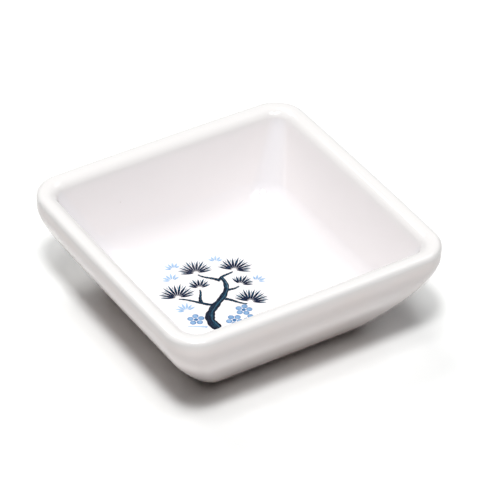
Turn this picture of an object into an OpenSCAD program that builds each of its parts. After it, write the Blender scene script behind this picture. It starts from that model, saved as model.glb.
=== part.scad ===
// Square soy sauce dish: a thick fired body on a low foot ring, under a coat of white glaze,
// with a small pine and plum print fired onto the floor of its well.
// Millimetres, +Z up, sides along X and Y, origin at the centre of the foot's resting plane.

/* [Dish] */
// Width across the middles of two opposite sides, which bow out slightly
dish_w = 84; // [76:1:100]
// Height from the table to the top of the rim
dish_h = 32; // [27:0.5:42]
// How far each outer side bows out at its middle. The bow fades to nothing at the underside
side_bow = 0.46; // [0:0.02:0.9]
// Corner radius of the outside, seen from above, at the rim
corner_r = 8.6; // [7:0.2:14]

/* [Rim] */
// Width of the rim, from the outside to the wall of the well
rim_w = 5.6; // [5.2:0.1:8]
// Rounding of the rim's inner edge
rim_inner_r = 3.5; // [1.5:0.1:3.7]
// Rounding of the rim's outer edge
rim_outer_r = 1.4; // [0.5:0.1:1.6]
// Height of the upright band below the rim, before the wall starts to draw in
band_h = 3.4; // [2:0.1:8]

/* [Well] */
// Thickness of the floor between the well and the recess under it
floor_t = 6; // [3:0.25:9]
// Lean of the well's walls, in degrees from upright
well_lean = 21; // [14:1:24]
// Radius of the fillet between the well's walls and its floor
floor_r = 11; // [5:0.5:12]
// How far each side of the well bows out at its middle
well_bow = 0.4; // [0:0.05:0.8]
// Corner radius of the well at the rim, seen from above
well_corner_r = 4.2; // [3:0.1:7]
// Corner radius of the well's flat floor, seen from above
floor_corner_r = 13; // [8:0.2:14]

/* [Outer wall] */
// Lean of the outer wall where it meets the bottom turn, in degrees from upright
wall_lean = 39.5; // [34:0.5:48]
// Radius of the turn from the outer wall to the underside
turn_r = 4; // [2.5:0.5:7]
// Width of the underside, from turn to turn
base_w = 46.8; // [45.4:0.2:54]

/* [Foot] */
// Width over the square foot ring
foot_w = 43; // [38:0.5:44.5]
// Height of the foot ring below the underside
foot_h = 1.6; // [1.5:0.1:2.4]
// Thickness of the foot ring
foot_t = 3.2; // [2.4:0.1:4.2]
// Corner radius of the foot ring's outside
foot_corner_r = 6; // [5:0.2:10]
// Rounding of the foot's two lower edges
foot_edge_r = 0.5; // [0.2:0.1:0.6]
// Fillet between the foot and the underside
foot_fillet_r = 0.7; // [0.4:0.05:0.85]
// Height of the bare edge that is wiped clean of glaze before firing
bare_h = 0.7; // [0.55:0.05:0.85]
// How much higher than the underside the recess inside the foot ring lies
recess_rise = 0.4; // [0:0.1:1]
// Fillet between the foot and the recess inside it
recess_fillet_r = 1; // [0.5:0.1:1.2]

/* [Glaze] */
// Thickness of the glaze
glaze_t = 0.35; // [0.2:0.05:0.5]
// Thickness of the glaze where it ends on the foot
glaze_edge_t = 0.15; // [0.05:0.05:0.2]

/* [Print] */
// Thickness of a printed colour, fired onto the glaze
print_t = 0.08; // [0.04:0.01:0.15]
// Height of the printed motif along its own upright, as a share of the flat floor's width
motif_share = 0.75; // [0.4:0.025:0.75]
// Turn of the motif's upright, in degrees clockwise from +Y
motif_turn = 32; // [20:1:40]

/* [Hidden] */

// Steps round a corner and along a side of every ring, and along the parts of the section
corner_steps = 8;
side_steps = 4;
fillet_steps = 7;
rim_steps = 4;
edge_steps = 2;
wall_steps = 9;
turn_steps = 4;
stroke_steps = 14;
needle_steps = 6;
needle_belly = 0.9;
petals = 5;

// Heights and half widths that follow from the sizes above
half_w = dish_w / 2;
well_half = half_w - rim_w;
turn_s = base_w / 2;
foot_half = foot_w / 2;
foot_inner_half = foot_half - foot_t;
recess_z = foot_h + recess_rise;
floor_z = recess_z + floor_t;
corner_shrink_share = 0.22;
upper_handle_share = 0.25;
lower_handle_share = 0.35;
wall_drop = dish_h - band_h - foot_h;

function mix(a, b, share) = a + (b - a) * share;
function unit(v) = v / norm(v);

// Points of an arc about c, from angle a0 to angle a1
function arc(c, r, a0, a1, steps) = [for (i = [0:steps]) let (a = mix(a0, a1, i / steps))
                                     c + r * [cos(a), sin(a)]];

// Point of a cubic curve on four control points
function quadratic(a, b, c, t) = mix(mix(a, b, t), mix(b, c, t), t);
function cubic(p, t) = mix(quadratic(p[0], p[1], p[2], t), quadratic(p[1], p[2], p[3], t), t);

// A station of the section is [half width, height, corner radius, bow]
function well_corner(s) = mix(well_corner_r, floor_corner_r, (well_half - s) / (well_half - flat_half));
function rim_corner(s) = mix(well_corner_r, corner_r, (s - well_half) / rim_w);
function wall_corner(s) = corner_r - (half_w - s) * corner_shrink_share;
function wall_bow(z) = side_bow * (z - foot_h) / wall_drop;
function foot_corner(s) = foot_corner_r - (foot_half - s);

// The well's leaning wall is tangent to the rim's inner rounding and to the floor's fillet
rim_inner_c = [well_half + rim_inner_r, dish_h - rim_inner_r];
wall_top = rim_inner_c + rim_inner_r * [-cos(well_lean), sin(well_lean)];
fillet_c_z = floor_z + floor_r;
wall_low_z = fillet_c_z - floor_r * sin(well_lean);
wall_low_s = wall_top.x - tan(well_lean) * (wall_top.y - wall_low_z);
flat_half = wall_low_s - floor_r * cos(well_lean);

// The outer wall is a curve from the upright band to the bottom turn
turn_c = [turn_s, foot_h + turn_r];
wall_dir = [sin(wall_lean), cos(wall_lean)];
wall_end = turn_c + turn_r * [cos(wall_lean), -sin(wall_lean)];
wall_start = [half_w, dish_h - band_h];
wall_curve = [wall_start, wall_start - [0, wall_drop * upper_handle_share],
              wall_end + wall_drop * lower_handle_share * wall_dir, wall_end];

// The glazed section, from the edge of the flat floor over the rim and down to the foot
well_stations = [for (p = arc([flat_half, fillet_c_z], floor_r, -90, -well_lean, fillet_steps))
                 [p.x, p.y, well_corner(p.x), well_bow]];
inner_rim_stations = [for (p = arc(rim_inner_c, rim_inner_r, 180 - well_lean, 90, rim_steps))
                      [p.x, p.y, rim_corner(p.x), well_bow]];
rim_outer_c = [half_w - rim_outer_r, dish_h - rim_outer_r];
outer_rim_stations = [for (p = arc(rim_outer_c, rim_outer_r, 90, 0, edge_steps))
                      [p.x, p.y, rim_corner(p.x), side_bow]];
wall_stations = [for (i = [0:wall_steps]) let (p = cubic(wall_curve, i / wall_steps))
                 [p.x, p.y, wall_corner(p.x), wall_bow(p.y)]];
turn_stations = [for (p = arc(turn_c, turn_r, -wall_lean, -90, turn_steps))
                 [p.x, p.y, wall_corner(p.x), wall_bow(p.y)]];
foot_fillet_c = [foot_half + foot_fillet_r, foot_h - foot_fillet_r];
foot_fillet_stations = [for (p = arc(foot_fillet_c, foot_fillet_r, 90, 180, edge_steps))
                        [p.x, p.y, foot_corner(p.x), 0]];
coat_end = [foot_half, bare_h, foot_corner(foot_half), 0];

function but_first(list) = [for (i = [1:len(list) - 1]) list[i]];
coat_skin = concat(well_stations, inner_rim_stations, outer_rim_stations, wall_stations,
                   but_first(turn_stations), foot_fillet_stations, [coat_end]);

// The glazed section inside the foot ring, from the foot to the edge of the flat recess
recess_fillet_c = [foot_inner_half - recess_fillet_r, recess_z - recess_fillet_r];
recess_stations = [for (p = arc(recess_fillet_c, recess_fillet_r, 0, 90, edge_steps))
                   [p.x, p.y, foot_corner(p.x), 0]];
base_start = [foot_inner_half, bare_h, foot_corner(foot_inner_half), 0];
base_skin = concat([base_start], recess_stations);

// Direction along a section at station i, and the same section sunk below its own surface
function along(skin, i) = unit([for (k = [0:1]) skin[min(i + 1, len(skin) - 1)][k] - skin[max(i - 1, 0)][k]]);
function depth_at(skin, i, edge) = i == edge ? glaze_edge_t : glaze_t;
function sunk(skin, edge, flat) = [for (i = [0:len(skin) - 1])
    let (d = i == flat ? [flat == 0 ? 1 : -1, 0] : along(skin, i), t = depth_at(skin, i, edge))
    [skin[i][0] + t * d.y, i == edge ? skin[i][1] : skin[i][1] - t * d.x, skin[i][2] + t * d.y, skin[i][3]]];
coat_bed = sunk(coat_skin, len(coat_skin) - 1, 0);
base_bed = sunk(base_skin, 0, len(base_skin) - 1);

// The bare foot, between the two glazed areas
foot_out_c = [foot_half - glaze_edge_t - foot_edge_r, foot_edge_r];
foot_in_c = [foot_inner_half + glaze_edge_t + foot_edge_r, foot_edge_r];
foot_section = concat(arc(foot_out_c, foot_edge_r, 0, -90, edge_steps),
                      arc(foot_in_c, foot_edge_r, 270, 180, edge_steps));
foot_stations = [for (p = foot_section) [p.x, p.y, foot_corner(p.x), 0]];

// One ring: a square with rounded corners and bowed sides, at the station's height
function quarter(k, p) = k == 0 ? p : k == 1 ? [-p.y, p.x] : k == 2 ? [-p.x, -p.y] : [p.y, -p.x];
function square_side(s, r, i) = i <= corner_steps
    ? [s - r, s - r] + r * [cos(90 * i / corner_steps), sin(90 * i / corner_steps)]
    : [mix(s - r, r - s, (i - corner_steps) / side_steps), s];
function bulge(along_share, out_share) = (1 - pow(along_share, 2)) * pow(out_share, 2) * sign(out_share);
function bowed(p, s, b) = [for (k = [0:1]) p[k] + b * bulge(p[1 - k] / s, p[k] / s)];
function ring(st) = [for (k = [0:3], i = [0:corner_steps + side_steps - 1])
    let (s = st[0] - st[3], p = bowed(quarter(k, square_side(s, st[2], i)), s, st[3])) [p.x, p.y, st[1]]];

// A closed solid lofted through its stations, from an upper flat out, down and round to a lower flat
module loft(stations) {
    n = 4 * (corner_steps + side_steps);
    last = len(stations) - 1;
    top = (last + 1) * n;
    triangles = [for (i = [0:last - 1], j = [0:n - 1]) let (a = i * n + j, b = i * n + (j + 1) % n)
                 each [[a, b, b + n], [a, b + n, a + n]]];
    upper = [for (j = [0:n - 1]) [top, (j + 1) % n, j]];
    lower = [for (j = [0:n - 1]) [top + 1, last * n + j, last * n + (j + 1) % n]];
    middles = [[0, 0, stations[0][1]], [0, 0, stations[last][1]]];
    polyhedron(points = concat([for (st = stations) each ring(st)], middles),
               faces = concat(upper, triangles, lower), convexity = 6);
}

function backwards(list) = [for (i = [0:len(list) - 1]) list[len(list) - 1 - i]];

// The fired body, one piece from rim to foot
module clay_body() {
    color("ivory") loft(concat(coat_bed, foot_stations, base_bed));
}

// The glaze over the well, the rim and the outside
module glaze_coat() {
    color("white") loft(concat(coat_skin, backwards(coat_bed)));
}

// The glaze inside the foot ring
module base_glaze() {
    color("whitesmoke") loft(concat(backwards(base_bed), base_skin));
}

// The motif lies flat on the floor of the well. Every size and place in it is a share of its height
floor_w = 2 * flat_half;
motif_h = floor_w * motif_share;
motif_at_shares = [-0.16, 0.035];
trunk_shares = [[0.06, -0.5], [-0.2, -0.26], [0.27, -0.06], [0.06, 0.22]];
twig_shares = [[[0.02, -0.18], [-0.08, -0.18], [-0.2, -0.1], [-0.295, -0.105]],
               [[-0.09, -0.155], [-0.13, -0.1], [-0.09, -0.03], [-0.115, 0.03]],
               [[0.09, -0.09], [0.16, -0.09], [0.22, -0.155], [0.3, -0.158]],
               [[0.1, 0.02], [0.15, 0.05], [0.19, 0.04], [0.225, 0.09]],
               [[0.06, 0.18], [0.07, 0.24], [0.13, 0.25], [0.17, 0.295]],
               [[0.06, 0.16], [0, 0.21], [-0.08, 0.19], [-0.135, 0.245]]];
ground_shares = [[[-0.04, -0.485], [-0.09, -0.47], [-0.15, -0.49], [-0.21, -0.475]],
                 [[0.14, -0.49], [0.22, -0.5], [0.3, -0.47], [0.38, -0.48]]];
trunk_w_shares = [0.095, 0.034];
twig_w_shares = [0.036, 0.015];
ground_w_shares = [0.026, 0.01];
brush_lift_shares = [0.08, 0.05];
brush_tip_share = 0.2;

// Place and reach of each fan, its opening and its lean in degrees, and its number of needles
near_fan_shares = [[[-0.3, -0.085], 0.195, 166, 12, 11], [[-0.115, 0.05], 0.14, 128, 8, 7],
                   [[0.325, -0.13], 0.185, 162, -12, 11], [[0.235, 0.11], 0.14, 124, -24, 7],
                   [[0.18, 0.315], 0.185, 168, -12, 11], [[-0.15, 0.265], 0.185, 166, 14, 11]];
far_fan_shares = [[[-0.355, 0.15], 0.115, 130, 24, 6], [[-0.345, 0.315], 0.105, 130, 24, 6],
                  [[0.015, 0.425], 0.1, 110, 0, 5], [[0.375, 0.16], 0.1, 110, -34, 5],
                  [[-0.22, -0.27], 0.12, 145, 25, 7]];
near_needle_share = 0.0215;
far_needle_share = 0.02;
fan_gap_share = 0.022;
fan_droop_share = 0.2;

// Place of each blossom and its turn in degrees, and the sizes of its petals
blossom_shares = [[[0.268, -0.242], 10], [[0.345, -0.375], 40], [[0.19, -0.385], -15], [[-0.14, -0.385], 25]];
petal_share = 0.027;
petal_gap_share = 0.0035;

// Puts a flat shape of the motif on the floor of the well, as a printed layer
module on_floor() {
    translate([floor_w * motif_at_shares.x, floor_w * motif_at_shares.y, floor_z])
        rotate([0, 0, -motif_turn])
            linear_extrude(height = print_t)
                children();
}

// A brush stroke along a cubic curve, tapering from its first width to its second, thinner at both ends
function lift(t) = brush_tip_share + min(1 - brush_tip_share, t / brush_lift_shares[0], (1 - t) / brush_lift_shares[1]);
function brush(t) = sqrt(1 - pow(1 - lift(t), 2));
module stroke(shares, w_shares) {
    n = stroke_steps;
    mids = [for (i = [0:n]) motif_h * cubic(shares, i / n)];
    ways = [for (i = [0:n]) unit(mids[min(i + 1, n)] - mids[max(i - 1, 0)])];
    half_ws = [for (i = [0:n]) motif_h / 2 * mix(w_shares[0], w_shares[1], i / n) * brush(i / n)];
    left = [for (i = [0:n]) mids[i] + half_ws[i] * [-ways[i].y, ways[i].x]];
    right = [for (i = [0:n]) mids[i] - half_ws[i] * [-ways[i].y, ways[i].x]];
    polygon(concat(left, backwards(right)));
}

// A slender needle along +X, pointed at both ends and widest before its middle
module needle(l, w) {
    n = needle_steps;
    left = [for (i = [0:n]) [l * i / n, w / 2 * sin(180 * pow(i / n, needle_belly))]];
    right = [for (i = [1:n - 1]) [left[n - i].x, -left[n - i].y]];
    polygon(concat(left, right));
}

// A fan of needles that opens upwards from a bare middle, its outer needles shorter
module fan(shares, w_share) {
    last = shares[4] - 1;
    gap = motif_h * fan_gap_share;
    translate(motif_h * shares[0])
        for (i = [0:last]) {
            side = 2 * i / last - 1;
            l = motif_h * shares[1] * (1 - fan_droop_share * side * side) - gap;
            rotate([0, 0, 90 + shares[3] - side * shares[2] / 2])
                translate([gap, 0])
                    needle(l, motif_h * w_share);
        }
}

// Five round petals about a dot
module blossom(shares) {
    petal_r = motif_h * petal_share;
    gap = motif_h * petal_gap_share;
    spread_r = (petal_r + gap / 2) / sin(180 / petals);
    translate(motif_h * shares[0]) {
        circle(r = spread_r - petal_r - gap, $fn = 24);
        for (i = [0:petals - 1])
            rotate([0, 0, shares[1] + 360 * i / petals])
                translate([spread_r, 0])
                    circle(r = petal_r, $fn = 32);
    }
}

// The darkest printed colour: trunk and twigs
module print_branch() {
    color("midnightblue") on_floor() {
        stroke(trunk_shares, trunk_w_shares);
        for (shares = twig_shares) stroke(shares, twig_w_shares);
    }
}

// The near needle fans
module print_needles() {
    color("darkslateblue") on_floor() for (shares = near_fan_shares) fan(shares, near_needle_share);
}

// The small five-petalled flowers
module print_blossoms() {
    color("steelblue") on_floor() for (shares = blossom_shares) blossom(shares);
}

// The palest printed colour: the far fans and the ground
module print_sprays() {
    color("lightsteelblue") on_floor() {
        for (shares = far_fan_shares) fan(shares, far_needle_share);
        for (shares = ground_shares) stroke(shares, ground_w_shares);
    }
}

clay_body();
glaze_coat();
base_glaze();
print_branch();
print_needles();
print_blossoms();
print_sprays();
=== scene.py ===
import bpy
import numpy as np
from mathutils import Matrix, Vector


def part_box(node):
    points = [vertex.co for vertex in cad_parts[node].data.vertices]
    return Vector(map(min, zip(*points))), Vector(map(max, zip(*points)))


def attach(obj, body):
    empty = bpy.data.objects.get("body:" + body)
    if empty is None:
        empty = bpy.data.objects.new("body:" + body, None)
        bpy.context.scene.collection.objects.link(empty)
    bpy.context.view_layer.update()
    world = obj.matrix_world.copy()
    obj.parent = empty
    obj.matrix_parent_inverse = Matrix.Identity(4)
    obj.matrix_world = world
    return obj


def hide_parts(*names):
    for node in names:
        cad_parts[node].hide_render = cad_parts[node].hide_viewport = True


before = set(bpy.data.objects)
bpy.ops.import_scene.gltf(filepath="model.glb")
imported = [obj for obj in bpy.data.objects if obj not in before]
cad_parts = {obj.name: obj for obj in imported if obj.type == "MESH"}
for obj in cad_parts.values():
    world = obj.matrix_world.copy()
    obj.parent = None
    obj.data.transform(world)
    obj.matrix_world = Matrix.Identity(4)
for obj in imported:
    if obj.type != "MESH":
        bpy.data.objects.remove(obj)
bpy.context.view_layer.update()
mm = 0.001

# The fired body. The real piece is one lump of white clay, cast square in a plaster mould and fired hard: a
# thick floor and rim, four walls that draw in to a narrow base, and a low foot ring. The glaze hides all of
# it but the foot's resting edge, which is wiped bare so that the dish doesn't stick to the kiln shelf.
half_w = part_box("glaze_coat")[1][0]
rim_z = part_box("glaze_coat")[1][2]
floor_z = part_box("print_branch")[0][2]
side_bow, well_bow = 0.46 * mm, 0.4 * mm
rim_w, rim_inner_r, rim_outer_r, band_h = 5.6 * mm, 3.5 * mm, 1.4 * mm, 3.4 * mm
corner_r, well_corner_r, floor_corner_r = 8.6 * mm, 4.2 * mm, 13.0 * mm
floor_r, well_lean = 11.0 * mm, 21
turn_r, base_half, wall_lean = 4.0 * mm, 23.4 * mm, 39.5
foot_half, foot_inner_half, foot_h = 21.5 * mm, 18.3 * mm, 1.6 * mm
foot_corner_r, foot_edge_r, foot_fillet_r = 6.0 * mm, 0.5 * mm, 0.7 * mm
recess_z, recess_fillet_r, bare_h = 2.0 * mm, 1.0 * mm, 0.7 * mm
glaze_t, glaze_edge_t = 0.35 * mm, 0.15 * mm
corner_shrink = 0.22
kiln_warp = 0.09 * mm


def arc(centre, radius, start, end, count):
    """Points round an arc: the centre plus the radius times the cosine and sine of even steps of angle."""
    angle = np.radians(np.linspace(start, end, count))
    return np.array(centre) + radius * np.stack([np.cos(angle), np.sin(angle)], axis=1)


def curve(controls, count):
    """Points on a cubic curve: its four control points weighed by (1-t)^3, 3t(1-t)^2, 3t^2(1-t) and t^3."""
    t = np.linspace(0, 1, count)[:, None]
    a, b, c, d = np.array(controls)
    return (1 - t) ** 3 * a + 3 * t * (1 - t) ** 2 * b + 3 * t ** 2 * (1 - t) * c + t ** 3 * d


def line(start, end, count):
    """Points inside a straight run: even shares of the way from start to end, without either end."""
    share = np.linspace(0, 1, count + 2)[1:-1, None]
    return np.array(start) * (1 - share) + np.array(end) * share


# The well's leaning wall is tangent to the rim's rounding and to the floor's fillet
rim_inner_c = np.array([half_w - rim_w + rim_inner_r, rim_z - rim_inner_r])
lean = np.radians(well_lean)
wall_top = rim_inner_c + rim_inner_r * np.array([-np.cos(lean), np.sin(lean)])
wall_low_z = floor_z + floor_r * (1 - np.sin(lean))
wall_low = np.array([wall_top[0] - np.tan(lean) * (wall_top[1] - wall_low_z), wall_low_z])
flat_half = wall_low[0] - floor_r * np.cos(lean)

# The outer wall is a cubic curve from the upright band under the rim to the turn into the underside
turn_c = np.array([base_half, foot_h + turn_r])
outer_lean = np.radians(wall_lean)
wall_end = turn_c + turn_r * np.array([np.cos(outer_lean), -np.sin(outer_lean)])
wall_start = np.array([half_w, rim_z - band_h])
wall_drop = rim_z - band_h - foot_h
wall_handles = [wall_start - [0, wall_drop * 0.25],
                wall_end + wall_drop * 0.35 * np.array([np.sin(outer_lean), np.cos(outer_lean)])]


def stations(points, corner, bow):
    """One run of the section: rows of half width, height, corner radius seen from above, and side bow."""
    return np.column_stack([points, np.broadcast_to(corner, len(points)), np.broadcast_to(bow, len(points))])


def well_corner(s):
    """The well's corner radius: it grows evenly from the rim's to the floor's as the wall draws in."""
    return np.interp(s, [flat_half, half_w - rim_w, half_w], [floor_corner_r, well_corner_r, corner_r])


def wall_corner(s):
    """The outer wall's corner radius: the rim's, less a share of how far the wall has drawn in."""
    return corner_r - (half_w - s) * corner_shrink


def wall_bow(z):
    """The outside's bow: full down to the lower edge of the upright band, then fading evenly to nothing."""
    return side_bow * np.clip((z - foot_h) / wall_drop, 0, 1)


def foot_corner(s):
    """The foot's corner radius: it keeps its inner and outer faces parallel."""
    return foot_corner_r - (foot_half - s)


well_run = np.vstack([arc([flat_half, floor_z + floor_r], floor_r, -90, -well_lean, 26),
                      line(wall_low, wall_top, 11),
                      arc(rim_inner_c, rim_inner_r, 180 - well_lean, 90, 16),
                      line([rim_inner_c[0], rim_z], [half_w - rim_outer_r, rim_z], 2)])
outside_run = np.vstack([arc([half_w - rim_outer_r, rim_z - rim_outer_r], rim_outer_r, 90, 0, 12),
                         line([half_w, rim_z - rim_outer_r], wall_start, 5),
                         curve([wall_start, *wall_handles, wall_end], 34),
                         arc(turn_c, turn_r, -wall_lean, -90, 14)[1:]])
foot_run = np.vstack([arc([foot_half + foot_fillet_r, foot_h - foot_fillet_r], foot_fillet_r, 90, 180, 9),
                      [[foot_half, bare_h]]])
recess_c = [foot_inner_half - recess_fillet_r, recess_z - recess_fillet_r]
base_run = np.vstack([[[foot_inner_half, bare_h]], arc(recess_c, recess_fillet_r, 0, 90, 11)])
outside_s, outside_z = outside_run.T
outside_corner = np.where(outside_z > wall_start[1], well_corner(outside_s), wall_corner(outside_s))
outward = np.array([0.02, 0.3, 0.6, 0.85, 0.96])
inward = outward[::-1]
coat_skin = np.vstack([stations(np.column_stack([flat_half * outward, np.full(outward.size, floor_z)]),
                                floor_corner_r * outward, well_bow * outward),
                       stations(well_run, well_corner(well_run[:, 0]), well_bow),
                       stations(outside_run, outside_corner, wall_bow(outside_z)),
                       stations(foot_run, foot_corner(foot_run[:, 0]), 0)])
recess_half = base_run[-1, 0]
base_skin = np.vstack([stations(base_run, foot_corner(base_run[:, 0]), 0),
                       stations(np.column_stack([recess_half * inward, np.full(inward.size, recess_z)]),
                                foot_corner(recess_half) * inward, 0)])


def sunk(skin, edge):
    """The skin moved in by the glaze's thickness: half width and height go against the section's normal,
    which is its direction turned by a quarter, and the corner radius goes with the half width. The edge row
    goes in less, and only sideways."""
    step = np.gradient(skin[:, :2], axis=0)
    step /= np.linalg.norm(step, axis=1, keepdims=True)
    flat = np.isclose(skin[:, 1], floor_z) | np.isclose(skin[:, 1], recess_z)
    step[flat] = np.sign(step[flat, :1]) * [1, 0]
    depth = np.full(len(skin), glaze_t)
    depth[edge] = glaze_edge_t
    bed = skin + np.column_stack([depth * step[:, 1], -depth * step[:, 0], depth * step[:, 1], 0 * depth])
    bed[edge, 1] = skin[edge, 1]
    return bed


coat_bed = sunk(coat_skin, -1)
base_bed = sunk(base_skin, 0)
foot_out, foot_in = foot_half - glaze_edge_t, foot_inner_half + glaze_edge_t
foot_edges = np.vstack([line([foot_out, bare_h], [foot_out, foot_edge_r], 1),
                        arc([foot_out - foot_edge_r, foot_edge_r], foot_edge_r, 0, -90, 7),
                        line([foot_out - foot_edge_r, 0], [foot_in + foot_edge_r, 0], 3),
                        arc([foot_in + foot_edge_r, foot_edge_r], foot_edge_r, 270, 180, 7),
                        line([foot_in, foot_edge_r], [foot_in, bare_h], 1)])
foot_skin = stations(foot_edges, foot_corner(foot_edges[:, 0]), 0)


def rings(rows, corner_steps=24, side_steps=32):
    """Rings of the dish, one for each row: a square whose corners are arcs and whose sides are pushed out
    by the bow times one less the square of how far along the side a point is. The whole then draws in and
    dips by the kiln's warp times slow sines of the angle round the dish, and times the square of the height
    above the well's floor."""
    s, z, r, bow = (column[:, None] for column in rows.T)
    s = s - bow
    turn = np.radians(np.linspace(0, 90, corner_steps + 1))[None, :]
    along = (1 - 2 * np.arange(1, side_steps) / side_steps)[None, :]
    x = np.hstack([s - r + r * np.cos(turn), (s - r) * along])
    y = np.hstack([s - r + r * np.sin(turn), s * np.ones_like(along)])
    x, y = np.hstack([x, -y, -x, y]), np.hstack([y, x, -y, -x])
    bulge_x = np.sign(x) * (1 - (y / s) ** 2) * (x / s) ** 2
    bulge_y = np.sign(y) * (1 - (x / s) ** 2) * (y / s) ** 2
    x, y = x + bow * bulge_x, y + bow * bulge_y
    height = np.clip((z - floor_z) / (rim_z - floor_z), 0, 1) ** 2
    round_angle = np.arctan2(y, x)
    wave = np.sin(2 * round_angle + 0.9) + 0.6 * np.sin(3 * round_angle + 2.1)
    swell = 1 - kiln_warp / half_w * height * (1 + 0.6 * wave)
    dip = kiln_warp * height * (0.8 + 0.5 * np.sin(2 * round_angle - 0.4) + 0.3 * np.sin(5 * round_angle))
    return np.stack([x * swell, y * swell, z - dip], axis=2)


def bend_of(rows):
    """How sharply the section bends at each row, as the turn of its direction over its length, per
    millimetre. It is above zero on a rounded edge and below zero in a hollow."""
    step = np.diff(rows[:, :2], axis=0)
    length = np.linalg.norm(step, axis=1)
    angle = np.unwrap(np.arctan2(step[:, 1], step[:, 0]))
    bend = np.zeros(len(rows))
    bend[1:-1] = -np.diff(angle) / (length[1:] + length[:-1]) * 2 * mm
    return bend


def glaze_lie_and_rim_light(rows, grid):
    """How the glaze lies at each point, and where light is painted, as three shares. The rim share is one
    over the rim's top, where it marks painted light, not glaze. Thin grows down the outside, and more where
    the wall turns under to the foot. Hollow is four times an inward bend, and down the well's corners the
    sine of twice the angle round each."""
    s, z, r = rows[:, 0], rows[:, 1], rows[:, 2]
    thin_z = foot_h + 2.5 * turn_r
    under = np.clip((thin_z - z) / (thin_z - foot_h), 0, 1) ** 1.5 * (s > foot_half - glaze_t)
    well_side = np.arange(len(rows)) < s.argmax()
    on_wall = well_side & (s < rim_inner_c[0]) & (z > floor_z + 0.5 * glaze_t)
    # The rim share marks where light is painted: the rim's top, which the lamps above light whiter.
    rim = np.clip((z - rim_z + rim_inner_r) / (0.6 * rim_inner_r), 0, 1)
    thin = ~well_side * (0.3 * np.clip((rim_z - z) / band_h, 0, 1) + 0.5 * under)
    past_x, past_y = np.abs(grid[:, :, 0]) - (s - r)[:, None], np.abs(grid[:, :, 1]) - (s - r)[:, None]
    corner = np.sin(2 * np.arctan2(past_y, past_x))
    hollow = on_wall[:, None] * np.clip(corner, 0, 1) - 4 * bend_of(rows)[:, None]
    return {"rim": rim[:, None] + 0 * corner, "thin": thin[:, None] + 0 * corner, "hollow": hollow}


def as_piece(mesh, material, node_name):
    """The mesh as a piece of the dish, riding on its one body and standing in for a node of the solids."""
    mesh.materials.append(material)
    piece = bpy.data.objects.new(mesh.name, mesh)
    bpy.context.collection.objects.link(piece)
    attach(piece, "root")
    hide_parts(node_name)


def closed_loft(name, rows, material, node_name):
    """A closed solid through its rings, from an upper flat out, down and round to a lower flat: quads
    between neighbouring rings, and a fan about a middle point at each end. Each point keeps how the glaze
    lies on it and where the rim's top is painted lit, as the three shares."""
    grid = rings(rows)
    count, n = grid.shape[:2]
    middles = [[0, 0, rows[0, 1]], [0, 0, rows[-1, 1]]]
    points = np.vstack([grid.reshape(-1, 3), middles])
    ring, k = np.meshgrid(np.arange(count - 1), np.arange(n), indexing="ij")
    a, b = ring * n + k, ring * n + (k + 1) % n
    quads = np.stack([a, a + n, b + n, b], axis=2).reshape(-1, 4)
    k = np.arange(n)
    last = (count - 1) * n
    upper = np.stack([np.full(n, count * n), k, (k + 1) % n], axis=1)
    lower = np.stack([np.full(n, count * n + 1), last + (k + 1) % n, last + k], axis=1)
    mesh = bpy.data.meshes.new(name)
    mesh.from_pydata(points.tolist(), [], quads.tolist() + upper.tolist() + lower.tolist())
    mesh.shade_smooth()
    for label, share in glaze_lie_and_rim_light(rows, grid).items():
        values = np.append(np.clip(share, 0, 1).ravel(), [0, 0]).astype(np.float32)
        mesh.attributes.new(label, "FLOAT", "POINT").data.foreach_set("value", values)
    as_piece(mesh, material, node_name)


def put(tree, kind, settings, inputs):
    """A node in the tree: its own settings by name, and its sockets by name or number, set or wired."""
    made = tree.nodes.new(kind)
    for name, value in settings.items():
        setattr(made, name, value)
    for name, value in inputs.items():
        if isinstance(value, bpy.types.NodeSocket):
            tree.links.new(value, made.inputs[name])
        else:
            made.inputs[name].default_value = value
    return made


def sums(tree, operation, a, b):
    """The result of one sum on two values."""
    return put(tree, "ShaderNodeMath", {"operation": operation}, {0: a, 1: b}).outputs[0]


def tint(tree, share, first, second):
    """A colour that goes from the first to the second with the share."""
    return put(tree, "ShaderNodeMix", {"data_type": "RGBA"}, {0: share, 6: first, 7: second}).outputs[2]


def spread(tree, value, low, high, first=0.0, last=1.0):
    """The value mapped evenly, low to the first number and high to the last, and held between the two."""
    ends = {"Value": value, "From Min": low, "From Max": high, "To Min": first, "To Max": last}
    return put(tree, "ShaderNodeMapRange", {}, ends).outputs[0]


def grain(tree, place, scale, detail, low, high):
    """Cloudy noise at that scale, spread so that low and high become nought and one."""
    noise = put(tree, "ShaderNodeTexNoise", {}, {"Vector": place, "Scale": scale, "Detail": detail})
    return spread(tree, noise.outputs["Fac"], low, high)


def new_material(name):
    """A new material using nodes, as (material, tree, shader), where the shader is its Principled BSDF."""
    material = bpy.data.materials.new(name)
    material.use_nodes = True
    tree = material.node_tree
    return material, tree, tree.nodes["Principled BSDF"]


def attribute(tree, name):
    """The value that the mesh holds under that name."""
    return put(tree, "ShaderNodeAttribute", {"attribute_name": name}, {}).outputs["Fac"]


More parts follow.
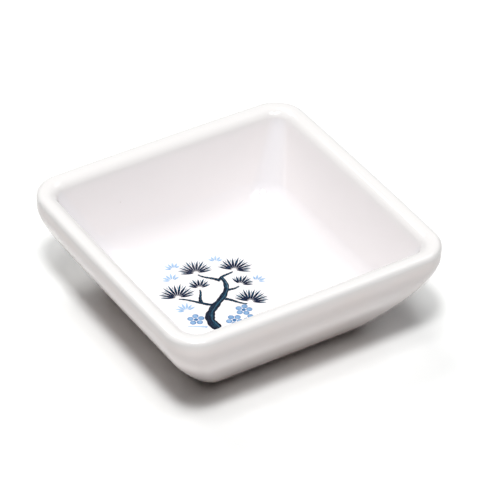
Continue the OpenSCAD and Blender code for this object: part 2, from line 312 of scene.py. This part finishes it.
bare_clay, tree, shader = new_material("bare_clay")
place = put(tree, "ShaderNodeTexCoord", {}, {}).outputs["Object"]
clay_cloud = grain(tree, place, 160, 4, 0.35, 0.65)
clay_sand = grain(tree, place, 2600, 2, 0.4, 0.62)
height = put(tree, "ShaderNodeSeparateXYZ", {}, {0: place}).outputs["Z"]
flash = spread(tree, height, 0.3 * mm, 0.75 * mm)
shelf_rub = sums(tree, "MULTIPLY", grain(tree, place, 420, 6, 0.52, 0.6), sums(tree, "SUBTRACT", 1.0, flash))
clay_colour = tint(tree, clay_cloud, (0.70, 0.64, 0.54, 1), (0.80, 0.75, 0.67, 1))
clay_colour = tint(tree, sums(tree, "MULTIPLY", clay_sand, 0.35), clay_colour, (0.52, 0.44, 0.34, 1))
clay_colour = tint(tree, sums(tree, "MULTIPLY", flash, 0.55), clay_colour, (0.55, 0.36, 0.22, 1))
clay_colour = tint(tree, sums(tree, "MULTIPLY", shelf_rub, 0.4), clay_colour, (0.38, 0.37, 0.36, 1))
tree.links.new(clay_colour, shader.inputs["Base Color"])
tree.links.new(sums(tree, "ADD", 0.72, sums(tree, "MULTIPLY", clay_sand, 0.2)), shader.inputs["Roughness"])
clay_bump = put(tree, "ShaderNodeBump", {}, {"Strength": 0.5, "Distance": 0.05 * mm, "Height": clay_sand})
tree.links.new(clay_bump.outputs[0], shader.inputs["Normal"])
closed_loft("fired_body", np.vstack([coat_bed, foot_skin, base_bed]), bare_clay, "clay_body")

# The glaze coat. The real piece is dipped once, by its foot, in a milky white glaze that melts to glass
#  over the well, the rim and the outside. It thins over the rim and down the outside, where the clay warms
#  its colour, and gathers in the hollows, where it turns cooler. The rim's top also carries painted light: a
#  whiter, less pink tint for the lamps above.
glaze_white = (0.845, 0.812, 0.82, 1)
glass_ior = 1.52


def build_glaze_group():
    """Melted glaze as colour, roughness and height: faint clouds, a painted highlight tint that makes the
    rim's top whiter and less pink, a warm tint where it lies thin, a cool one in hollows, a slow ripple, and
    rare pinholes in the middles of a few cells."""
    group = bpy.data.node_groups.new("melted_glaze", "ShaderNodeTree")
    for label, kind, value in (("Glaze", "NodeSocketColor", glaze_white), ("Rim", "NodeSocketFloat", 0),
                               ("Thin", "NodeSocketFloat", 0), ("Hollow", "NodeSocketFloat", 0)):
        group.interface.new_socket(label, in_out="INPUT", socket_type=kind).default_value = value
    for label, kind in (("Color", "NodeSocketColor"), ("Roughness", "NodeSocketFloat"),
                        ("Height", "NodeSocketFloat")):
        group.interface.new_socket(label, in_out="OUTPUT", socket_type=kind)
    given = group.nodes.new("NodeGroupInput").outputs
    place = put(group, "ShaderNodeTexCoord", {}, {}).outputs["Object"]
    clouds = grain(group, place, 70, 3, 0.35, 0.65)
    ripple = grain(group, place, 190, 1, 0.2, 0.8)
    cells = put(group, "ShaderNodeTexVoronoi", {}, {"Vector": place, "Scale": 420.0})
    chosen = put(group, "ShaderNodeSeparateColor", {}, {0: cells.outputs["Color"]}).outputs[0]
    rare = sums(group, "GREATER_THAN", chosen, 0.992)
    near = spread(group, cells.outputs["Distance"], 0.05, 0.11, 1.0, 0.0)
    pinhole = sums(group, "MULTIPLY", rare, near)
    colour = tint(group, sums(group, "MULTIPLY", clouds, 0.5), given["Glaze"], (0.851, 0.816, 0.821, 1))
    # Painted light: the rim's top is tinted a more neutral, whiter white than the pinker glaze, for the
    # light from above.
    colour = tint(group, sums(group, "MULTIPLY", given["Rim"], 0.8), colour, (0.833, 0.822, 0.817, 1))
    patchy = sums(group, "ADD", 0.75, sums(group, "MULTIPLY", clouds, 0.5))
    colour = tint(group, sums(group, "MULTIPLY", given["Thin"], patchy), colour, (0.87, 0.74, 0.68, 1))
    colour = tint(group, sums(group, "MULTIPLY", given["Hollow"], 0.4), colour, (0.805, 0.805, 0.855, 1))
    colour = tint(group, sums(group, "MULTIPLY", pinhole, 0.3), colour, (0.5, 0.45, 0.4, 1))
    roughness = sums(group, "ADD", 0.055, sums(group, "MULTIPLY", clouds, 0.03))
    roughness = sums(group, "ADD", roughness, sums(group, "MULTIPLY", given["Thin"], 0.1))
    pits = sums(group, "MULTIPLY", pinhole, 0.4)
    height = sums(group, "SUBTRACT", sums(group, "MULTIPLY", ripple, 0.6), pits)
    put(group, "NodeGroupOutput", {}, {"Color": colour, "Roughness": roughness, "Height": height})
    return group


melted_glaze = build_glaze_group()


def glaze_material(name, colour):
    """A glossy glaze of that colour, wired to the melted glaze's colour, roughness and height."""
    material, tree, shader = new_material(name)
    melt = put(tree, "ShaderNodeGroup", {"node_tree": melted_glaze},
               {"Glaze": colour, "Rim": attribute(tree, "rim"), "Thin": attribute(tree, "thin"),
                "Hollow": attribute(tree, "hollow")})
    bump = put(tree, "ShaderNodeBump", {},
               {"Strength": 0.25, "Distance": 0.03 * mm, "Height": melt.outputs["Height"]})
    tree.links.new(melt.outputs["Color"], shader.inputs["Base Color"])
    tree.links.new(melt.outputs["Roughness"], shader.inputs["Roughness"])
    tree.links.new(bump.outputs[0], shader.inputs["Normal"])
    shader.inputs["IOR"].default_value = glass_ior
    return material


white_glaze = glaze_material("white_glaze", glaze_white)
closed_loft("glaze_shell", np.vstack([coat_skin, coat_bed[::-1]]), white_glaze, "glaze_coat")

# The glaze inside the foot ring. On the real piece it is the same dip, cut off from the rest of the coat by
# the wiped foot. It lies thin and even on the recess and ends in a soft edge on the foot's inner face.
thin_glaze = glaze_material("base_glaze", (0.83, 0.79, 0.79, 1))
closed_loft("recess_glaze", np.vstack([base_bed[::-1], base_skin]), thin_glaze, "base_glaze")

# The printed branch. The real print is four transfer colours laid on the glaze and fired into it. This one,
# the darkest, is a pine's trunk and twigs in brushed indigo, with bark lights where the brush ran dry.
motif_share = 0.75
motif_h = 2 * flat_half * motif_share
motif_turn = np.radians(-32)
motif_at = 2 * flat_half * np.array([-0.16, 0.035])
print_t, ink_bed = 0.03 * mm, 0.004 * mm
tops, top_step = 12, 0.001 * mm
trunk = [[0.06, -0.5], [-0.2, -0.26], [0.27, -0.06], [0.06, 0.22]]
twigs = [[[0.02, -0.18], [-0.08, -0.18], [-0.2, -0.1], [-0.295, -0.105]],
         [[-0.09, -0.155], [-0.13, -0.1], [-0.09, -0.03], [-0.115, 0.03]],
         [[0.09, -0.09], [0.16, -0.09], [0.22, -0.155], [0.3, -0.158]],
         [[0.1, 0.02], [0.15, 0.05], [0.19, 0.04], [0.225, 0.09]],
         [[0.06, 0.18], [0.07, 0.24], [0.13, 0.25], [0.17, 0.295]],
         [[0.06, 0.16], [0, 0.21], [-0.08, 0.19], [-0.135, 0.245]]]


def brush_mark(controls, first_w, last_w, ink, seed, count=72, across=9):
    """One brush stroke: points on a cubic curve, moved to either side by shares of a half width that goes
    from the first to the last, narrows at both ends and swells by two small waves. Returns the grid and the
    ink on it, which is thinner towards the end and darker at the sides, and has a dry band off its middle
    that sways by a sine."""
    t = np.linspace(0, 1, count)
    mid = curve(controls, count)
    way = np.gradient(mid, axis=0)
    way /= np.linalg.norm(way, axis=1, keepdims=True)
    lift = np.clip(np.minimum(0.2 + t / 0.08, 0.2 + (1 - t) / 0.05), 0, 1)
    swell = 1 + 0.09 * np.sin(31 * t + seed) + 0.06 * np.sin(67 * t + 2.3 * seed)
    half = (first_w + (last_w - first_w) * t) * np.sqrt(1 - (1 - lift) ** 2) * swell / 2
    share = np.linspace(-1, 1, across)
    sideways = np.stack([-way[:, 1], way[:, 0]], axis=1)
    grid = mid[:, None, :] + sideways[:, None, :] * (half[:, None] * share)[:, :, None]
    dry_band = 0.5 * np.exp(-((share[None, :] + 0.3 + 0.12 * np.sin(9 * t[:, None] + seed)) / 0.22) ** 2)
    density = ink * (0.85 + 0.15 * share[None, :] ** 2) * (1 - 0.2 * t[:, None] ** 2) * (1 - dry_band)
    return grid * motif_h, density


def print_layer(name, marks, material, node_name):
    """A printed colour as thin closed patches: each mark's grid at the top of the ink, the same grid just
    above the glaze, and a wall of quads round its border. All are turned and moved to the motif's place on
    the floor, and a few tops a small step apart settle which mark shows where two cross. UV runs along and
    across each mark, and the ink attribute holds its density."""
    points, faces, inks, spots = [], [], [], []
    base = 0
    for number, (grid, density) in enumerate(marks):
        rows, columns = grid.shape[:2]
        c, s = np.cos(motif_turn), np.sin(motif_turn)
        flat = grid.reshape(-1, 2) @ np.array([[c, s], [-s, c]]) + motif_at
        size = rows * columns
        for level in (print_t - number % tops * top_step, ink_bed):
            points.append(np.column_stack([flat, np.full(size, floor_z + level)]))
            inks.append(np.broadcast_to(density, (rows, columns)).ravel())
            v, u = np.meshgrid(np.linspace(0, 1, columns), np.linspace(0, 1, rows))
            spots.append(np.column_stack([u.ravel() + 3.7 * number, v.ravel()]))
        index = np.arange(size).reshape(rows, columns)
        a, b, c2, d = index[:-1, :-1], index[1:, :-1], index[1:, 1:], index[:-1, 1:]
        quads = np.stack([a, b, c2, d], axis=2).reshape(-1, 4)
        border = np.concatenate([index[:-1, 0], index[-1, :-1], index[:0:-1, -1], index[0, :0:-1]])
        after = np.roll(border, -1)
        u_way = flat[index[1, columns // 2]] - flat[index[0, columns // 2]]
        v_way = flat[index[rows // 2, 1]] - flat[index[rows // 2, 0]]
        if u_way[0] * v_way[1] - u_way[1] * v_way[0] < 0:
            quads, border, after = quads[:, ::-1], after, border
        walls = np.stack([border, border + size, after + size, after], axis=1)
        faces.append(base + np.vstack([quads, quads[:, ::-1] + size, walls]))
        base += 2 * size
    mesh = bpy.data.meshes.new(name)
    mesh.from_pydata(np.vstack(points).tolist(), [], np.vstack(faces).tolist())
    ink = np.concatenate(inks).astype(np.float32)
    mesh.attributes.new("ink", "FLOAT", "POINT").data.foreach_set("value", ink)
    corner_points = np.empty(len(mesh.loops), np.int32)
    mesh.loops.foreach_get("vertex_index", corner_points)
    uv = np.vstack(spots)[corner_points].astype(np.float32)
    mesh.uv_layers.new(name="brush").data.foreach_set("uv", uv.ravel())
    as_piece(mesh, material, node_name)


def build_brush_group():
    """Brushed ink as a colour and a roughness: the ink's density, broken by streaks that follow the brush
    and by soft pools, goes from the bare glaze through the thin wash to the full colour."""
    group = bpy.data.node_groups.new("brushed_ink", "ShaderNodeTree")
    for label, kind in (("Wash", "NodeSocketColor"), ("Full", "NodeSocketColor"),
                        ("Density", "NodeSocketFloat"), ("Dryness", "NodeSocketFloat")):
        group.interface.new_socket(label, in_out="INPUT", socket_type=kind)
    for label, kind in (("Color", "NodeSocketColor"), ("Roughness", "NodeSocketFloat")):
        group.interface.new_socket(label, in_out="OUTPUT", socket_type=kind)
    given = group.nodes.new("NodeGroupInput").outputs
    spot = put(group, "ShaderNodeUVMap", {"uv_map": "brush"}, {}).outputs[0]
    place = put(group, "ShaderNodeTexCoord", {}, {}).outputs["Object"]
    stretched = put(group, "ShaderNodeMapping", {}, {"Vector": spot, "Scale": (4.0, 14.0, 1.0)}).outputs[0]
    streaks = grain(group, stretched, 2.2, 3, 0.42, 0.62)
    pools = grain(group, place, 900, 3, 0.35, 0.65)
    broken = sums(group, "MULTIPLY", streaks, given["Dryness"])
    density = sums(group, "MULTIPLY", given["Density"], sums(group, "SUBTRACT", 1.0, broken))
    density = sums(group, "MULTIPLY", density, sums(group, "ADD", 0.8, sums(group, "MULTIPLY", pools, 0.3)))
    thin = spread(group, density, 0.0, 0.3)
    thick = spread(group, density, 0.25, 0.6)
    colour = tint(group, thick, tint(group, thin, glaze_white, given["Wash"]), given["Full"])
    roughness = sums(group, "ADD", 0.07, sums(group, "MULTIPLY", pools, 0.04))
    put(group, "NodeGroupOutput", {}, {"Color": colour, "Roughness": roughness})
    return group


brushed_ink = build_brush_group()


def ink_material(name, wash, full, dryness):
    """A fired ink: brushed between its wash and its full colour, as glossy as the glaze it sank into."""
    material, tree, shader = new_material(name)
    ink = put(tree, "ShaderNodeGroup", {"node_tree": brushed_ink},
              {"Wash": wash, "Full": full, "Density": attribute(tree, "ink"), "Dryness": dryness})
    tree.links.new(ink.outputs["Color"], shader.inputs["Base Color"])
    tree.links.new(ink.outputs["Roughness"], shader.inputs["Roughness"])
    shader.inputs["IOR"].default_value = glass_ior
    return material


indigo = ink_material("print_indigo", (0.015, 0.09, 0.15, 1), (0.006, 0.009, 0.025, 1), 0.45)
branch_marks = [brush_mark(trunk, 0.095, 0.034, 1.0, 0.4, 120, 15)]
branch_marks += [brush_mark(twig, 0.036, 0.015, 0.95, 1.7 * number) for number, twig in enumerate(twigs)]
print_layer("pine_branch", branch_marks, indigo, "print_branch")

# The printed needles. On the real print this second colour is fired over the first: fans of pine needles,
# each a touch of a pointed brush, black-blue where it lands and blue-green where it lifts.
near_fans = [[[-0.3, -0.085], 0.195, 166, 12, 11], [[-0.115, 0.05], 0.14, 128, 8, 7],
             [[0.325, -0.13], 0.185, 162, -12, 11], [[0.235, 0.11], 0.14, 124, -24, 7],
             [[0.18, 0.315], 0.185, 168, -12, 11], [[-0.15, 0.265], 0.185, 166, 14, 11]]
fan_gap, fan_droop, near_needle_w = 0.022, 0.2, 0.0215
hair_from, hair_to, hair_w, hair_bow, hair_ink = 0.62, 0.95, 0.28, 0.03, 0.5


def needle_mark(at, heading, start, reach, width, bow, ink):
    """One needle: points along a line from its start to its reach that bows sideways by a parabola, moved
    to either side by a half width that follows a sine of the distance to the power 0.9, so that it is
    widest just off its middle and pointed at both ends. The ink fades from the fan's middle to the tip."""
    t = np.linspace(0, 1, 16)
    share = np.linspace(-1, 1, 5)
    along = start + (reach - start) * t
    half = width / 2 * np.clip(np.sin(np.pi * t ** 0.9), 0.02, 1)
    side = bow * (reach - start) * 4 * t * (1 - t)
    x, y = along[:, None] + 0 * share, side[:, None] + half[:, None] * share
    c, s = np.cos(np.radians(heading)), np.sin(np.radians(heading))
    grid = np.stack([at[0] + x * c - y * s, at[1] + x * s + y * c], axis=2)
    return grid * motif_h, ink * (1 - 0.55 * t[:, None] ** 1.5) * (0.85 + 0.15 * share[None, :] ** 2)


def fan_marks(fans, width, ink, hairs):
    """The needles of each fan, spread evenly over its opening with the outer ones shorter by the square of
    how far out they are, and, where hairs are asked for, a fainter hair in the outer part of each gap."""
    marks = []
    for at, reach, opening, tilt, count in fans:
        for k in range(count * 2 - 1):
            side = k / (count - 1) - 1
            heading = 90 + tilt - side * opening / 2
            length = reach * (1 - fan_droop * side ** 2) * (1 + 0.05 * np.sin(5.1 * k + 9 * at[0]))
            if k % 2 == 0:
                marks.append(needle_mark(at, heading, fan_gap, length, width, 0.02 * np.sin(3.3 * k), ink))
            elif hairs:
                marks.append(needle_mark(at, heading, length * hair_from, length * hair_to, width * hair_w,
                                         hair_bow, ink * hair_ink))
    return marks


deep_blue = ink_material("print_deep_blue", (0.03, 0.17, 0.27, 1), (0.006, 0.012, 0.04, 1), 0.25)
needles = fan_marks(near_fans, near_needle_w, 1.0, True)
print_layer("pine_needles", needles, deep_blue, "print_needles")

# The printed blossoms. The third colour is small five-petalled plum flowers, dabbed in a mid blue wash that
# dries darker round each petal, with a dark dot in the middle.
blossoms = [[[0.268, -0.242], 10], [[0.345, -0.375], 40], [[0.19, -0.385], -15], [[-0.14, -0.385], 25]]
petal_r, petal_gap, petals = 0.027, 0.0035, 5
spread_r = (petal_r + petal_gap / 2) / np.sin(np.pi / petals)


def dot_mark(at, radius, middle_ink, border_ink, count=13):
    """A round dab: a square grid pressed to a disc, where x is u times the root of one less half v squared,
    and the same for y. The ink goes from its middle's to its border's with the distance's fourth power."""
    u, v = np.meshgrid(np.linspace(-1, 1, count), np.linspace(-1, 1, count), indexing="ij")
    x, y = u * np.sqrt(1 - v ** 2 / 2), v * np.sqrt(1 - u ** 2 / 2)
    far = np.clip(x ** 2 + y ** 2, 0, 1) ** 2
    grid = np.stack([at[0] + radius * x, at[1] + radius * y], axis=2)
    return grid * motif_h, middle_ink + (border_ink - middle_ink) * far


def blossom_marks():
    """Five petals round each middle dot, spaced so that neighbours leave the named gap."""
    marks = []
    for at, turn in blossoms:
        marks.append(dot_mark(at, spread_r - petal_r - petal_gap, 0.9, 1.0))
        for k in range(petals):
            a = np.radians(turn + 360 * k / petals)
            petal_at = [at[0] + spread_r * np.cos(a), at[1] + spread_r * np.sin(a)]
            marks.append(dot_mark(petal_at, petal_r, 0.42, 0.7))
    return marks


mid_blue = ink_material("print_mid_blue", (0.30, 0.47, 0.70, 1), (0.06, 0.17, 0.36, 1), 0.25)
print_layer("plum_blossoms", blossom_marks(), mid_blue, "print_blossoms")

# The palest printed colour. The real layer is laid down first and weakest: far pine fans and two strokes of
# ground, a pale blue wash that is hardly darker than the glaze at its tips.
far_fans = [[[-0.355, 0.15], 0.115, 130, 24, 6], [[-0.345, 0.315], 0.105, 130, 24, 6],
            [[0.015, 0.425], 0.1, 110, 0, 5], [[0.375, 0.16], 0.1, 110, -34, 5],
            [[-0.22, -0.27], 0.12, 145, 25, 7]]
ground = [[[-0.04, -0.485], [-0.09, -0.47], [-0.15, -0.49], [-0.21, -0.475]],
          [[0.14, -0.49], [0.22, -0.5], [0.3, -0.47], [0.38, -0.48]]]
pale_blue = ink_material("print_pale_blue", (0.40, 0.56, 0.76, 1), (0.17, 0.33, 0.58, 1), 0.3)
far_needle_w = 0.02
pale_marks = fan_marks(far_fans, far_needle_w, 0.62, False)
pale_marks += [brush_mark(stroke, 0.026, 0.01, 0.5, 2.9 * number) for number, stroke in enumerate(ground)]
print_layer("far_sprays", pale_marks, pale_blue, "print_sprays")

# The table, which isn't part of the dish: a plain white board that keeps the dish's shadow, with the white
# room past its edge. The camera and gloss see it white, and it throws less light back up at the dish than
# it would, as a board does that is masked off close by.
table_half = 0.35
table_z = -0.02 * mm
table_corners = table_half * np.array([(-1, -1), (1, -1), (1, 1), (-1, 1)])
mesh = bpy.data.meshes.new("table")
mesh.from_pydata([(x, y, table_z) for x, y in table_corners.tolist()], [], [(0, 1, 2, 3)])
table = bpy.data.objects.new("table", mesh)
bpy.context.collection.objects.link(table)
board, tree, shader = new_material("white_board")
shader.inputs["Roughness"].default_value = 0.9
shader.inputs["Specular IOR Level"].default_value = 0.0
rays = put(tree, "ShaderNodeLightPath", {}, {})
seen = sums(tree, "MAXIMUM", rays.outputs["Is Camera Ray"], rays.outputs["Is Glossy Ray"])
tree.links.new(tint(tree, seen, (0.76, 0.76, 0.76, 1), (0.99, 1, 1, 1)), shader.inputs["Base Color"])
mesh.materials.append(board)

# The studio light, which isn't part of the dish: a key soft box above the camera and six weaker ones round
# it and behind the dish, all aimed at its middle. The dark room is white to the camera and grey in gloss.
lamp_distance = 1.3
room_in_gloss = 0.2
world = bpy.data.worlds.new("studio")
bpy.context.scene.world = world
world.use_nodes = True
tree = world.node_tree
rays = put(tree, "ShaderNodeLightPath", {}, {})
seen = sums(tree, "MAXIMUM", rays.outputs["Is Camera Ray"], rays.outputs["Is Transmission Ray"])
backdrop = tree.nodes["Background"]
backdrop.inputs["Color"].default_value = (1, 1, 1, 1)
in_gloss = sums(tree, "MULTIPLY", rays.outputs["Is Glossy Ray"], room_in_gloss)
tree.links.new(sums(tree, "MAXIMUM", seen, in_gloss), backdrop.inputs["Strength"])


def soft_box(name, elevation, azimuth, size, watts, colour=(1, 1, 1)):
    """A round area lamp on a sphere round the dish, at the elevation and azimuth in degrees, facing it."""
    lamp = bpy.data.lights.new(name, "AREA")
    lamp.shape = "DISK"
    lamp.size = size
    lamp.energy = watts
    lamp.color = colour
    box = bpy.data.objects.new(name, lamp)
    bpy.context.collection.objects.link(box)
    e, a = np.radians(elevation), np.radians(azimuth)
    toward = Vector((np.cos(a) * np.cos(e), np.sin(a) * np.cos(e), np.sin(e)))
    box.location = lamp_distance * toward
    box.rotation_euler = (-toward).to_track_quat("-Z", "Y").to_euler()


soft_box("key", 63, 235, 0.21, 8.6, (1, 0.995, 0.985))
soft_box("left", 72, 213, 0.25, 2.5, (1, 0.99, 0.99))
soft_box("front", 69, 270, 0.25, 2.0, (0.98, 1, 1))
soft_box("low_front", 60, 270, 0.4, 1.5)
soft_box("right", 54, 0, 0.5, 1.4, (0.97, 0.98, 1))
soft_box("back", 66, 90, 0.5, 4.65, (1, 1, 0.98))
soft_box("back_left", 56, 111, 0.5, 2.6, (1, 1, 0.98))

# The camera: long lens, above and to the left of the front side, as the photograph was taken.
camera_azimuth, camera_elevation, camera_roll = np.radians(-31.88), np.radians(37.14), np.radians(0.503)
camera_distance = 921.6 * mm
camera_aim = np.array([-4.95 * mm, -9.40 * mm, rim_z])
focal_px, frame_px, sensor = 3502.2, 480, 36.0
back = np.array([np.sin(camera_azimuth) * np.cos(camera_elevation),
                 -np.cos(camera_azimuth) * np.cos(camera_elevation), np.sin(camera_elevation)])
right = np.cross([0, 0, 1], back)
right /= np.linalg.norm(right)
up = np.cross(back, right)
roll_cos, roll_sin = np.cos(camera_roll), np.sin(camera_roll)
right, up = right * roll_cos + up * roll_sin, up * roll_cos - right * roll_sin
eye = camera_aim + back * camera_distance
lens = bpy.data.cameras.new("camera")
lens.sensor_width = sensor
lens.lens = focal_px / frame_px * sensor
lens.clip_start, lens.clip_end = 0.05, 20
camera = bpy.data.objects.new("camera", lens)
bpy.context.collection.objects.link(camera)
camera.matrix_world = Matrix([*np.column_stack([right, up, back, eye]).tolist(), [0, 0, 0, 1]])
bpy.context.scene.camera = camera
bpy.context.scene.view_settings.view_transform = "Standard"
